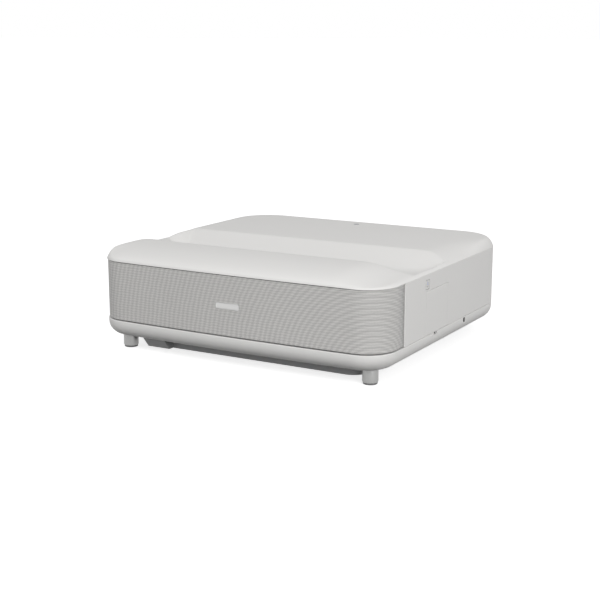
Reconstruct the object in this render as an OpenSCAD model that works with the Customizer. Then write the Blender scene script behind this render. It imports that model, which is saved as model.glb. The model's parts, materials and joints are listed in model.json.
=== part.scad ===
// Ultra-short-throw home projector: white case on two screw feet, cloth-covered speaker front,
// projection window sunk in a valley across the top, and the whole light engine inside.
// Millimetres. X to the viewer's right, Y towards the wall, Z up, origin under the centre on the table.

/* [Case] */
// Width of the case
body_w = 467; // [440:1:500]
// Depth of the case
body_d = 445; // [425:1:470]
// Plan radius of the two front corners
front_r = 46; // [40:1:52]
// Plan radius of the two rear corners
rear_r = 68; // [60:1:72]
// How far the front bulges at its middle
front_bow = 5; // [4:0.5:6]
// Wall thickness of the mouldings
wall = 3; // [2.5:0.1:3]

/* [Heights] */
// Gap between the table and the flat of the case
foot_h = 22; // [21:0.5:24]
// Height of the rounded tray under the seam
tray_h = 25; // [24:0.5:27]
// Height of the upright walls above the seam
band_h = 87; // [85:0.5:90]
// Height of the front lip's ridge above the walls
crown_h = 17; // [16:0.5:18]
// How far the flat rear part of the cover lies below the lip's ridge
plateau_drop = 3; // [2:0.5:4]
// Radius of the tray's rounded lower edge
chin_r = 20; // [16:1:20]

/* [Optics] */
// Sideways place of the optical axis
axis_x = 80; // [76:1:84]
// Height of the optical axis
axis_z = 78; // [76:1:80]
// Width of the projection window
window_w = 150; // [140:1:152]
// Outer radius of the lens barrel
barrel_r = 27; // [24:1:28]

/* [Controls] */
// Front edge of the focus door
door_y0 = -81.5; // [-84:0.5:-80]
// Rear edge of the focus door
door_y1 = -7; // [-10:0.5:-6]
// Height of the focus door's top edge
door_top_z = 109.5; // [108:0.5:110]
// Travel of the power button
button_travel = 1.2; // [1:0.1:1.5]

/* [Feet] */
// Radius of a front foot
foot_r = 11; // [10:0.5:12]
// Sideways place of the front feet
foot_x = 199; // [196:1:200]
// Lengthways place of the front feet
foot_y = -182; // [-184:1:-180]
// How far a front foot unscrews
foot_travel = 12; // [8:1:12]

/* [Hidden] */
seam_z = foot_h + tray_h;
crease_z = seam_z + band_h;
top_z = crease_z + crown_h;
floor_z = foot_h + 3.5;
half_w = body_w / 2;
half_d = body_d / 2;
bow_r = half_w * half_w / (2 * front_bow);
seam_gap = 0.5;
cloth_inset = 1.2;
cloth_t = 0.9;
band_y = -150;
fit = 0.3;
slip = 0.05;
case_white = [0.88, 0.88, 0.87];
cloth_grey = [0.72, 0.71, 0.7];
foot_grey = [0.62, 0.62, 0.62];
dark_grey = [0.36, 0.36, 0.37];
board_green = [0.1, 0.33, 0.2];
metal = [0.72, 0.73, 0.75];
black = [0.08, 0.08, 0.09];

// ---- plan outline of the case ----
corner_x = half_w - front_r;
bow_cy = -half_d + bow_r;
corner_y = bow_cy - sqrt(pow(bow_r - front_r, 2) - pow(corner_x, 2));
bow_end = atan2(corner_y - bow_cy, corner_x);

function arc(cx, cy, r, a0, a1, n) = [for (k = [0:n]) let (a = a0 + (a1 - a0) * k / n)
    [cx + r * cos(a), cy + r * sin(a)]];

// The outline moved inwards by i: two front corners, two rear corners and the bowed front between them.
function outline(i, n = 14) = concat(
    arc(corner_x, corner_y, front_r - i, bow_end, 0, n),
    arc(half_w - rear_r, half_d - rear_r, rear_r - i, 0, 90, n),
    arc(-half_w + rear_r, half_d - rear_r, rear_r - i, 90, 180, n),
    arc(-corner_x, corner_y, front_r - i, 180, 180 - bow_end, n),
    [for (k = [1:11]) let (a = -180 - bow_end + (180 + 2 * bow_end) * k / 12)
        [(bow_r - i) * cos(a), bow_cy + (bow_r - i) * sin(a)]]);

module slab(i, z0, z1) translate([0, 0, z0]) linear_extrude(z1 - z0) polygon(outline(i));
module ring(i0, i1, z0, z1) translate([0, 0, z0]) linear_extrude(z1 - z0)
    difference() { polygon(outline(i0)); polygon(outline(i1)); }
module box(lo, hi) translate(lo) cube(hi - lo);
module rod_x(r, x0, x1, y, z) translate([x0, y, z]) rotate([0, 90, 0]) cylinder(r = r, h = x1 - x0, $fn = 48);
module rod_y(r, y0, y1, x, z) translate([x, y0, z]) rotate([-90, 0, 0]) cylinder(r = r, h = y1 - y0, $fn = 48);
module rod_z(r, z0, z1, x, y) translate([x, y, z0]) cylinder(r = r, h = z1 - z0, $fn = 48);
module rounded_box(lo, hi, r) {
    size = hi - lo;
    translate(lo) linear_extrude(size.z) {
        translate([r, 0]) square([size.x - 2 * r, size.y]);
        translate([0, r]) square([size.x, size.y - 2 * r]);
        for (x = [r, size.x - r], y = [r, size.y - r]) translate([x, y]) circle(r, $fn = 32);
    }
}
module both_sides() { children(); mirror([1, 0, 0]) children(); }

// ---- case ----
boss_spots = [[222, -110], [222, 60], [176, 206], [-222, -110], [-222, 45], [-176, 206]];
boss_top = seam_z + 3;
screw_r = 1.5;
filter_lo = [70, 90];
filter_hi = [170, 184];
filter_pin_z = floor_z - 1;
filter_pin_y = filter_hi.y - 3;
slot_y = 58.7;

module tray_form() hull() {
    for (t = [0:11.25:90])
        slab(chin_r * (1 - cos(t)), foot_h + chin_r * (1 - sin(t)), foot_h + chin_r * (1 - sin(t)) + 0.02);
    slab(0, seam_z - 1, seam_z - seam_gap);
}

// Lower moulding: rounded tray with the foot bosses, screw bosses and the opening for the air filter.
module lower_case() color(case_white) difference() {
    union() {
        difference() {
            tray_form();
            slab(12.5, floor_z, foot_h + 12);
            slab(5, foot_h + 12, seam_z);
        }
        difference() {
            ring(wall + 0.4, 5, seam_z - seam_gap - 1, boss_top);
            box([-half_w, -half_d, 0], [half_w, band_y + 1, top_z]);
        }
        both_sides() rod_z(14, foot_h + 1, 38, foot_x, foot_y);
        for (p = boss_spots) rod_z(4.5, foot_h + 2, boss_top, p.x, p.y);
        for (x = [filter_lo.x - 6, filter_hi.x]) box([x, filter_pin_y - 4, floor_z - 1], [x + 6, filter_pin_y + 4, 29]);
    }
    both_sides() rod_z(8, 24, 39, foot_x, foot_y);
    both_sides() rod_z(5.6, foot_h - 1, 25, foot_x, foot_y);
    for (p = boss_spots) {
        rod_z(1.8, foot_h - 1, boss_top + 1, p.x, p.y);
        rod_z(3.4, foot_h - 1, 40, p.x, p.y);
    }
    box([filter_lo.x, filter_lo.y, foot_h - 1], [filter_hi.x, filter_hi.y, 33]);
    rod_x(1 + slip, filter_lo.x - 3.2, filter_hi.x + 3.2, filter_pin_y, filter_pin_z);
    box([half_w - 14, slot_y - 1.5, seam_z - 9], [half_w + 1, slot_y + 1.5, seam_z - 2]);
    box([half_w - 4, -64, seam_z - 3.6], [half_w + 1, -43, seam_z]);
    for (x = [-150:8:-30], y = [100, 145]) box([x, y, foot_h - 1], [x + 3.5, y + 34, floor_z + 1]);
}

// Dark pan under the tray that makes room for the engine's cooling duct, with a sloped nose at its left end.
pan_z = 5;
pan_lo = [-165, -176];
pan_hi = [182, 60];
pan_r = 24;
nose_w = 38;
module pan_outline(i) {
    translate(pan_lo + [i, i]) square([pan_hi.x - pan_lo.x - pan_r - i, pan_hi.y - pan_lo.y - 2 * i]);
    translate([pan_lo.x + i, pan_lo.y + pan_r]) square([pan_hi.x - pan_lo.x - 2 * i, pan_hi.y - pan_lo.y - 2 * pan_r]);
    for (y = [pan_lo.y + pan_r, pan_hi.y - pan_r]) translate([pan_hi.x - pan_r, y]) circle(pan_r - i, $fn = 48);
}
module base_pan() color(dark_grey) difference() {
    union() {
        translate([0, 0, pan_z]) linear_extrude(foot_h - pan_z) pan_outline(0);
        translate([pan_lo.x, 0, 0]) rotate([90, 0, 90]) linear_extrude(nose_w)
            polygon([[pan_lo.y + 1, pan_z], [-185, pan_z], [-199, foot_h], [pan_lo.y + 1, foot_h]]);
    }
    translate([0, 0, pan_z + 2.5]) linear_extrude(foot_h) pan_outline(2.5);
    for (x = [-120:9:120]) box([x, -60, pan_z - 1], [x + 3.5, 20, pan_z + 3]);
}

door_x = half_w - 1.5;
door_pin_z = door_top_z - 1.5;
button_y = -78.5;
button_z = 119.3;
button_w = 12;
button_h = 12;
io_lo = [-128, 62];
io_hi = [28, 104];
inlet_x = 150;
inlet_z = 74;
vent_y0 = -42;
vent_y1 = 138;
vent_z0 = 56;
vent_z1 = 124;

// Upright walls round the right side, the back and the left side, open at the front.
module side_shell() color(case_white) difference() {
    union() {
        difference() {
            ring(0, wall, seam_z, crease_z);
            box([-half_w - 1, -half_d - 1, 0], [half_w + 1, band_y, top_z]);
        }
        for (p = boss_spots) difference() {
            union() {
                rod_z(4.5, boss_top, boss_top + 14, p.x, p.y);
                if (abs(p.x) > 200) box([min(p.x, sign(p.x) * (half_w - 1)), p.y - 1.5, boss_top],
                    [max(p.x, sign(p.x) * (half_w - 1)), p.y + 1.5, boss_top + 14]);
                else box([p.x - 1.5, p.y, boss_top], [p.x + 1.5, half_d - wall, boss_top + 14]);
            }
            rod_z(screw_r, boss_top - 1, boss_top + 11, p.x, p.y);
        }
        // Posts for the power key's board, and the ears that hold the door's pins.
        for (s = [-1, 1]) rod_x(2, half_w - 12, half_w - 2, button_y + s * 11.5, button_z);
        for (y = [door_y0 - 4, door_y1 + 1])
            box([half_w - 9, y, door_top_z - 8], [half_w - 1, y + 3, door_top_z + 1]);
    }
    box([half_w - 4, door_y0 - 0.4, seam_z - 1], [half_w + 1, door_y1 + 0.4, door_top_z + 0.4]);
    rod_y(1 + slip, door_y0 - 3.2, door_y1 + 3.2, door_x, door_pin_z);
    box([half_w - 4, button_y - button_w / 2 - fit, button_z - button_h / 2 - fit],
        [half_w + 1, button_y + button_w / 2 + fit, button_z + button_h / 2 + fit]);
    box([-half_w - 1, vent_y0, vent_z0], [-half_w + 4, vent_y1, vent_z1]);
    box([io_lo.x, half_d - 4, io_lo.y], [io_hi.x, half_d + 1, io_hi.y]);
    box([inlet_x - 20, half_d - 6, inlet_z - 14], [inlet_x + 20, half_d + 1, inlet_z + 14]);
}

// Crowned cover. It falls to the crease all round, a low saddle crosses it behind the front lip, and a
// bowl with the projection window at its bottom is sunk into the saddle.
crown_run = 18;
lip_y = -139;
bowl_z = crease_z - 8;
bowl_slope = 0.4;
bowl_y1 = 20;
window_x0 = axis_x - window_w / 2;
window_x1 = axis_x + window_w / 2;
window_y0 = -96;
window_y1 = -48;
plateau_z = top_z - plateau_drop;
saddle_z = crease_z + 9.5;
module crown_form(drop, i) hull() for (u = [0, 0.08, 0.2, 0.35, 0.55, 0.75, 1])
    translate([0, 0, (crown_h - 0.02) * (1 - pow(1 - u, 2.3)) - drop])
        slab(i + crown_run * u, crease_z, crease_z + 0.02);
// Side view of the cover: front lip rising from the crease, saddle, then level to the back.
module cover_profile(drop) translate([-half_w - 1, 0, -drop]) rotate([90, 0, 90]) linear_extrude(body_w + 2)
    polygon(concat([[half_d + 1, 100], [-half_d - 1, 100]],
        [for (t = [0:7.5:90]) [lip_y - (half_d + 1 + lip_y) * cos(t), crease_z + crown_h * sin(t)]],
        [[-118, top_z - 0.8], [-100, saddle_z + 4], [-88, saddle_z], [-52, saddle_z], [-30, saddle_z + 3]],
        [[-10, plateau_z], [half_d + 1, plateau_z]]));
module bowl_outline(x0, x1, y0, y1, r) {
    translate([x0, y0]) square([x1 - x0, y1 - r - y0]);
    translate([x0, y0]) square([x1 - r - x0, y1 - y0]);
    translate([x1 - r, y1 - r]) circle(r, $fn = 48);
}
bowl_y0 = bowl_y1 - (plateau_z - bowl_z) / bowl_slope;
module bowl_form(drop) hull() {
    translate([0, 0, plateau_z - drop]) linear_extrude(8) bowl_outline(-226, 240, -108, bowl_y1, 62);
    translate([0, 0, bowl_z - drop]) linear_extrude(1) bowl_outline(-196, 190, -100, bowl_y0 + 14, 20);
}
module cover_form(drop, i) difference() {
    intersection() {
        crown_form(drop, i);
        cover_profile(drop);
    }
    bowl_form(drop);
}
sensor_at = [-12, 184];
sensor_r = 4.5;
module top_cover() color(case_white) difference() {
    cover_form(0, 0);
    intersection() {
        cover_form(wall, wall);
        slab(wall, crease_z - 5, top_z);
    }
    rounded_box([window_x0, window_y0, bowl_z - 9], [window_x1, window_y1, top_z + 1], 8);
    rod_z(sensor_r + 0.1, crease_z, top_z + 1, sensor_at.x, sensor_at.y);
}

module vent_grille() color(case_white) difference() {
    box([-half_w, vent_y0 + 0.2, vent_z0 + 0.2], [-half_w + 2.6, vent_y1 - 0.2, vent_z1 - 0.2]);
    for (z = [vent_z0 + 5:5.2:vent_z1 - 6], y = [vent_y0 + 5, (vent_y0 + vent_y1) / 2 + 2])
        box([-half_w - 1, y, z], [-half_w + 4, y + (vent_y1 - vent_y0) / 2 - 7, z + 2.4]);
}

// Recessed plate behind the rear wall, cut for the sockets.
port_y = half_d - 14;
hdmi_x = [-104, -74];
usb_x = [-44, -20];
audio_x = 6;
port_z = 82;
module rear_panel() color(dark_grey) difference() {
    union() {
        box([io_lo.x, port_y, io_lo.y], [io_hi.x, port_y + 2, io_hi.y]);
        difference() {
            box([io_lo.x - 2, port_y, io_lo.y - 2], [io_hi.x + 2, half_d - wall, io_hi.y + 2]);
            box([io_lo.x, port_y - 1, io_lo.y], [io_hi.x, half_d, io_hi.y]);
        }
    }
    for (x = hdmi_x) box([x - 8.2, port_y - 1, port_z - 3.6], [x + 8.2, port_y + 3, port_z + 3.6]);
    for (x = usb_x) box([x - 7.2, port_y - 1, port_z - 3.8], [x + 7.2, port_y + 3, port_z + 3.8]);
    rod_y(4.6, port_y - 1, port_y + 3, audio_x, port_z);
}

// ---- speaker front ----
module front_only() intersection() {
    children();
    box([-half_w - 1, -half_d - 1, 0], [half_w + 1, band_y - 0.4, top_z]);
}
driver_x = 189;
driver_z = 88;
woofer_x = -90;
module grille_frame() color(dark_grey) difference() {
    front_only() ring(cloth_inset + cloth_t, cloth_inset + cloth_t + 3, seam_z + 0.6, crease_z - 1);
    for (x = [-driver_x, woofer_x, driver_x]) rod_y(x == woofer_x ? 36 : 25, -half_d - 1, -150, x, driver_z);
    for (x = [-30:18:150], z = [62, 92]) box([x, -half_d - 1, z], [x + 13, -half_d + 12, z + 24]);
}
module grille_cloth() color(cloth_grey) front_only() ring(cloth_inset, cloth_inset + cloth_t, seam_z + 0.9, crease_z - 1.2);
badge_lo = [-20, 86];
badge_hi = [18, 95];
module front_badge() color(metal) intersection() {
    ring(0.1, cloth_inset, badge_lo.y, badge_hi.y);
    box([badge_lo.x, -half_d - 2, badge_lo.y], [badge_hi.x, -half_d + 3, badge_hi.y]);
}

// ---- controls ----
module power_button() color(case_white) {
    box([half_w - 3.2, button_y - button_w / 2, button_z - button_h / 2],
        [half_w, button_y + button_w / 2, button_z + button_h / 2]);
    rod_x(3, half_w - 7, half_w - 3, button_y, button_z);
}
// Small board behind the power key with its round light.
module status_light() color([0.7, 0.78, 0.95]) {
    box([half_w - 13.5, button_y - 14, button_z - 7], [half_w - 12, button_y + 14, button_z + 7]);
    rod_x(2.4, half_w - 12, half_w - 8.5, button_y, button_z);
}
module side_door() color(case_white) {
    difference() {
        box([half_w - 3, door_y0, seam_z + 0.3], [half_w, door_y1, door_pin_z]);
        box([half_w - 4, -64, seam_z - 1], [half_w - 1.6, -42, seam_z + 7]);
    }
    rod_y(1.5, door_y0, door_y1, door_x, door_pin_z);
    rod_y(1, door_y0 - 2.8, door_y1 + 2.8, door_x, door_pin_z);
}

// ---- projection window ----
glass_z = bowl_z - 3.2;
module window_plate(i, z0, z1, r) rounded_box([window_x0 + i, window_y0 + i, z0], [window_x1 - i, window_y1 - i, z1], r);
module window_glass() color([0.5, 0.55, 0.6, 0.5]) window_plate(4, glass_z - 2, glass_z, 5);
module window_frame() color(black) difference() {
    window_plate(0.2, glass_z - 5, bowl_z, 8);
    window_plate(7, glass_z - 6, bowl_z + 1, 4);
    window_plate(4, glass_z - 2, bowl_z + 1, 5);
}
module distance_sensor() color(black) {
    rod_z(sensor_r, plateau_z - 6, plateau_z, sensor_at.x, sensor_at.y);
    box(concat(sensor_at - [8, 8], plateau_z - 9), concat(sensor_at + [8, 8], plateau_z - 6));
}
module ir_receivers() color(black) {
    box([-2, -half_d + 8, 108], [8, -half_d + 14, 118]);
    box([80, half_d - wall - 7, 80], [92, half_d - wall, 92]);
}

// ---- light engine ----
plate_z = floor_z + 0.5;
engine_lo = [axis_x - 46, 62, plate_z + 2];
engine_hi = [axis_x + 46, 168, 122];
prism_y = 92;
module chassis_plate() color(metal) difference() {
    box([-196, -108, plate_z], [196, 192, plate_z + 1.5]);
    box([filter_lo.x - 7, filter_lo.y - 3, plate_z - 1], [filter_hi.x + 7, 193, plate_z + 3]);
    for (x = [-180, -60, 60, 180], y = [-95, 40]) rod_z(2.2, plate_z - 1, plate_z + 3, x, y);
}
// Die-cast case round the prism and the relay optics, open on top for its lid, bored for the lens.
engine_bore_r = 23;
module engine_case() color([0.2, 0.2, 0.21]) difference() {
    union() {
        box([engine_lo.x, engine_lo.y, 36], [engine_hi.x, 150, 118]);
        box([-50, 112, 36], [engine_lo.x + 2, 150, 118]);
    }
    box([engine_lo.x + 3, engine_lo.y + 6, 40], [engine_hi.x - 3, 147, 119]);
    box([-47, 115, 40], [engine_lo.x + 4, 147, 119]);
    rod_y(engine_bore_r, engine_lo.y - 1, engine_lo.y + 7, axis_x, axis_z);
    rod_x(16, -51, -46, 131, axis_z);
}
module engine_lid() color([0.26, 0.26, 0.27]) {
    box([engine_lo.x, engine_lo.y, 118], [engine_hi.x, 150, 120.5]);
    box([-50, 112, 118], [engine_lo.x, 150, 120.5]);
}
module prism() color([0.75, 0.85, 0.9, 0.6]) box([axis_x - 13, prism_y - 13, axis_z - 12], [axis_x + 13, prism_y + 13, axis_z + 12]);
module lcd_panels() color([0.15, 0.15, 0.3]) {
    for (s = [-1, 1]) translate([axis_x + s * 18, prism_y, axis_z]) cube([3, 24, 28], center = true);
    translate([axis_x, prism_y + 18, axis_z]) cube([24, 3, 28], center = true);
}
module relay_lenses() color([0.75, 0.85, 0.9, 0.6])
    for (x = [-34, -4, 24]) rod_x(14, x, x + 4, 131, axis_z);
module lens_barrel() color(black) difference() {
    union() {
        rod_y(barrel_r + 7, 56, engine_lo.y, axis_x, axis_z);
        rod_y(barrel_r - 2, -20, 56, axis_x, axis_z);
        rod_y(engine_bore_r - 0.1, engine_lo.y, engine_lo.y + 5, axis_x, axis_z);
        rod_y(barrel_r + 4, -58, -17, axis_x, axis_z);
    }
    rod_y(barrel_r - 5, -21, 68, axis_x, axis_z);
    rod_y(barrel_r + 1, -59, -20, axis_x, axis_z);
}
module rear_lens() color([0.7, 0.8, 0.9, 0.6]) rod_y(barrel_r - 5, 48, 56, axis_x, axis_z);
// Sliding cell with the large front element; turning the focus ring moves it along the barrel.
module focus_cell() color([0.6, 0.72, 0.8, 0.7]) difference() {
    rod_y(barrel_r + 1 - slip, -50, -28, axis_x, axis_z);
    translate([axis_x, -50 - 52, axis_z]) sphere(r = 56, $fn = 64);
}
module focus_ring() color([0.14, 0.14, 0.15]) difference() {
    rod_y(barrel_r + 5, 4, 26, axis_x, axis_z);
    rod_y(barrel_r - 2 + slip, 3, 27, axis_x, axis_z);
    box([axis_x + barrel_r + 1, 9, axis_z - 3.2], [axis_x + barrel_r + 6, 21, axis_z + 3.2]);
}
lever_tip_x = half_w - 12;
lever_y = -40;
module focus_lever() color(metal) {
    box([axis_x + barrel_r + 1, 10, axis_z - 3], [axis_x + barrel_r + 70, 20, axis_z + 3]);
    box([axis_x + barrel_r + 60, lever_y - 5, axis_z - 3], [axis_x + barrel_r + 70, 10, axis_z + 3]);
    box([axis_x + barrel_r + 70, lever_y - 5, axis_z - 2], [lever_tip_x - 8, lever_y + 5, axis_z + 2]);
}
module lever_knob() color(black) difference() {
    box([lever_tip_x - 14, lever_y - 9, axis_z - 8], [lever_tip_x, lever_y + 9, axis_z + 8]);
    box([lever_tip_x - 15, lever_y - 5, axis_z - 2], [lever_tip_x - 8, lever_y + 5, axis_z + 2]);
}
// Concave mirror under the front lip; it faces back and up through the window.
mirror_tilt = 24;
mirror_r = 150;
module mirror_place() translate([axis_x, -134, 88]) rotate([-mirror_tilt, 0, 0]) children();
module concave_mirror() color([0.9, 0.92, 0.95]) mirror_place() intersection() {
    difference() {
        translate([0, mirror_r - 12, 0]) sphere(r = mirror_r + 5, $fn = 96);
        translate([0, mirror_r - 12, 0]) sphere(r = mirror_r, $fn = 96);
    }
    box([-68, -40, -33], [68, 12, 33]);
}
module mirror_bracket() color(dark_grey) difference() {
    union() {
        box([axis_x - 76, -176, floor_z], [axis_x + 76, -172, 118]);
        box([axis_x - 76, -176, floor_z], [axis_x + 76, -112, floor_z + 3]);
        for (s = [-1, 1]) translate([axis_x + s * 74, 0, 0])
            box([-2, -174, floor_z], [2, -116, 118]);
    }
    for (x = [-52, 0, 52]) rod_y(12, -178, -170, axis_x + x, 60);
}

// ---- light source and cooling ----
module laser_module() color([0.55, 0.56, 0.58]) {
    box([-112, 112, 36], [-78, 150, 118]);
    for (y = [118, 128, 138], z = [46:12:106]) rod_x(3, -78, -75, y, z);
}
wheel_y = 131;
module phosphor_wheel() color([0.93, 0.8, 0.3]) difference() {
    union() {
        rod_x(32, -61, -59, wheel_y, axis_z + 2);
        rod_x(9, -62.5, -59, wheel_y, axis_z + 2);
    }
    rod_x(2 + slip, -63, -58, wheel_y, axis_z + 2);
}
module wheel_motor() color(metal) {
    rod_x(10, -71, -63, wheel_y, axis_z + 2);
    rod_x(2, -63, -58, wheel_y, axis_z + 2);
    box([-74, wheel_y - 8, 36], [-71, wheel_y + 8, axis_z + 14]);
}
sink_lo = [-176, 60, 34];
sink_hi = [-126, 186, 122];
module heat_sink() color(metal) difference() {
    union() {
        box([sink_hi.x - 4, sink_lo.y, sink_lo.z], sink_hi);
        for (z = [sink_lo.z:5.2:sink_hi.z - 1.4]) box([sink_lo.x, sink_lo.y, z], [sink_hi.x - 3, sink_hi.y, z + 1.4]);
    }
    for (y = [110, 130, 150]) rod_x(3.1, sink_lo.x - 1, sink_hi.x + 1, y, 76);
}
module heat_pipes() color([0.75, 0.45, 0.3])
    for (y = [110, 130, 150]) rod_x(3, sink_lo.x + 2, -112, y, 76);
fan_x = -219;
fan_depth = 25;
fan_z = 80;
fan_ys = [-2, 92];
module fan_frames() color(black) for (y = fan_ys) difference() {
    union() {
        difference() {
            box([fan_x, y - 42, fan_z - 42], [fan_x + fan_depth, y + 42, fan_z + 42]);
            rod_x(38.5, fan_x - 1, fan_x + fan_depth + 1, y, fan_z);
        }
        rod_x(14, fan_x + fan_depth - 4, fan_x + fan_depth, y, fan_z);
        rod_x(2, fan_x + 6, fan_x + fan_depth - 3, y, fan_z);
        for (a = [0:90:270]) translate([fan_x + fan_depth - 4, y, fan_z]) rotate([a + 45, 0, 0])
            box([0, -2, 12], [3, 2, 41]);
    }
    for (sy = [-1, 1], sz = [-1, 1]) rod_x(2.1, fan_x - 1, fan_x + fan_depth + 1, y + sy * 36, fan_z + sz * 36);
}
module fan_rotor(y) color([0.16, 0.16, 0.17]) difference() {
    union() {
        rod_x(14, fan_x + 3, fan_x + fan_depth - 5, y, fan_z);
        for (a = [0:360 / 7:359]) translate([fan_x + 10.5, y, fan_z]) rotate([a, 0, 0])
            translate([0, 0, 12]) rotate([0, 0, 40]) box([-1, -11, 0], [1, 11, 24]);
    }
    rod_x(2 + slip, fan_x + 2, fan_x + fan_depth, y, fan_z);
}
module front_fan_rotor() fan_rotor(fan_ys[0]);
module rear_fan_rotor() fan_rotor(fan_ys[1]);
blower_at = [160, 138];
blower_z = 40;
blower_shaft_r = 2;
module blower_case() color(black) difference() {
    union() {
        rod_z(34, blower_z, blower_z + 24, blower_at.x, blower_at.y);
        box([blower_at.x - 34, blower_at.y - 40, blower_z], [blower_at.x - 6, blower_at.y, blower_z + 24]);
    }
    difference() {
        rod_z(31, blower_z + 2, blower_z + 22, blower_at.x, blower_at.y);
        rod_z(blower_shaft_r, blower_z + 7, blower_z + 23, blower_at.x, blower_at.y);
    }
    box([blower_at.x - 32, blower_at.y - 41, blower_z + 2], [blower_at.x - 8, blower_at.y - 20, blower_z + 22]);
    rod_z(20, blower_z - 1, blower_z + 3, blower_at.x, blower_at.y);
}
module blower_rotor() color([0.16, 0.16, 0.17]) difference() {
    union() {
        rod_z(12, blower_z + 4, blower_z + 20, blower_at.x, blower_at.y);
        rod_z(28, blower_z + 18, blower_z + 20, blower_at.x, blower_at.y);
        for (a = [0:20:359]) translate([blower_at.x, blower_at.y, blower_z + 4]) rotate([0, 0, a])
            translate([24, 0, 0]) rotate([0, 0, 30]) box([-4, -0.6, 0], [4, 0.6, 15]);
    }
    rod_z(blower_shaft_r + slip, blower_z + 6, blower_z + 21, blower_at.x, blower_at.y);
}
module air_filter() color([0.3, 0.32, 0.33]) difference() {
    box([filter_lo.x + 6, filter_lo.y + 7, floor_z - 0.9], [filter_hi.x - 6, filter_hi.y - 10, floor_z + 8]);
    for (x = [filter_lo.x + 9:6:filter_hi.x - 12])
        box([x, filter_lo.y + 10, floor_z + 3], [x + 3, filter_hi.y - 13, floor_z + 9]);
}
module filter_cover() color(dark_grey) difference() {
    union() {
        box([filter_lo.x + 0.6, filter_lo.y + 0.8, foot_h + 0.1], [filter_hi.x - 0.6, filter_pin_y, floor_z - 0.9]);
        rod_x(1.2, filter_lo.x + 0.6, filter_hi.x - 0.6, filter_pin_y, filter_pin_z);
        rod_x(1, filter_lo.x - 2.8, filter_hi.x + 2.8, filter_pin_y, filter_pin_z);
    }
    for (x = [filter_lo.x + 10:7:filter_hi.x - 12], y = [filter_lo.y + 12, filter_lo.y + 46])
        box([x, y, foot_h - 1], [x + 3.5, y + 26, floor_z]);
}

// ---- electronics ----
board_y = port_y - 15;
module main_board() color(board_green) difference() {
    box([-140, board_y - 1.6, 30], [40, board_y, 126]);
    for (x = [-134, 34], z = [36, 120]) rod_y(1.7, board_y - 3, board_y + 1, x, z);
}
module board_chips() color(black) {
    for (c = [[-90, 50, 12], [-52, 44, 9], [-10, 50, 10], [10, 108, 8], [-110, 108, 9]])
        box([c.x - c.z, board_y - 4, c.y - c.z], [c.x + c.z, board_y - 1.6, c.y + c.z]);
    for (x = [-60:8:-20]) rod_y(3, board_y - 12, board_y - 1.6, x, 106);
}
module io_ports() color(metal) {
    for (x = hdmi_x) difference() {
        box([x - 8, board_y, port_z - 3.4], [x + 8, port_y + 2, port_z + 3.4]);
        box([x - 7.2, port_y - 10, port_z - 2.4], [x + 7.2, port_y + 3, port_z + 2.4]);
    }
    for (x = usb_x) difference() {
        box([x - 7, board_y, port_z - 3.6], [x + 7, port_y + 2, port_z + 3.6]);
        box([x - 6.3, port_y - 10, port_z - 2.7], [x + 6.3, port_y + 3, port_z + 2.7]);
    }
    difference() {
        rod_y(4.4, board_y, port_y + 2, audio_x, port_z);
        rod_y(1.8, port_y - 10, port_y + 3, audio_x, port_z);
    }
}
module power_board() color([0.5, 0.4, 0.2]) difference() {
    box([-186, -104, 34], [-20, 14, 35.6]);
    for (x = [-180, -26], y = [-98, 8]) rod_z(1.7, 33, 37, x, y);
}
module power_parts() color([0.2, 0.22, 0.3]) {
    for (p = [[-160, -80], [-160, -50], [-132, -80]]) rod_z(11, 35.6, 68, p.x, p.y);
    box([-110, -90, 35.6], [-72, -56, 64]);
    box([-60, -96, 35.6], [-54, 6, 72]);
    box([-120, -30, 35.6], [-84, 2, 60]);
    for (x = [-180, -26], y = [-98, 8]) difference() {
        rod_z(3.4, 27.5, 34, x, y);
        rod_z(1.6, 27, 35, x, y);
    }
}
// Two-pin-and-earth mains socket; the box's mouth is flush with the rear wall's recess.
module mains_inlet() color(black) difference() {
    box([inlet_x - 19.8, half_d - 26, inlet_z - 13.8], [inlet_x + 19.8, half_d - 4, inlet_z + 13.8]);
    difference() {
        box([inlet_x - 12.5, half_d - 22, inlet_z - 8.5], [inlet_x + 12.5, half_d - 3, inlet_z + 8.5]);
        for (p = [[-7, 2], [7, 2], [0, -3]])
            box([inlet_x + p.x - 1, half_d - 23, inlet_z + p.y - 2.5], [inlet_x + p.x + 1, half_d - 8, inlet_z + p.y + 2.5]);
    }
}

// ---- speakers ----
box_y0 = -205;
box_y1 = -128;
module speaker_shell(x0, x1, hole_x, hole_r, y0) difference() {
    box([x0, y0, 52], [x1, box_y1, 126]);
    box([x0 + 2.5, y0 + 2.5, 54.5], [x1 - 2.5, box_y1 - 2.5, 123.5]);
    rod_y(hole_r, y0 - 1, y0 + 3, hole_x, driver_z);
}
module speaker_boxes() color(black) {
    both_sides() speaker_shell(164, 214, driver_x, 22, box_y0 + 12);
    speaker_shell(-150, -30, woofer_x, 33, box_y0);
}
module driver(x, y, r) {
    difference() {
        rod_y(r + 2.5, y - 4, y, x, driver_z);
        rod_y(r - 3, y - 5, y + 1, x, driver_z);
    }
    difference() {
        rod_y(r - 1, y, y + 14, x, driver_z);
        rod_y(r - 3, y - 1, y + 12, x, driver_z);
    }
    rod_y(r * 0.6, y + 14, y + 26, x, driver_z);
}
module speaker_drivers() color(metal) {
    both_sides() driver(driver_x, box_y0 + 12, 22);
    driver(woofer_x, box_y0, 33);
}
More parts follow.
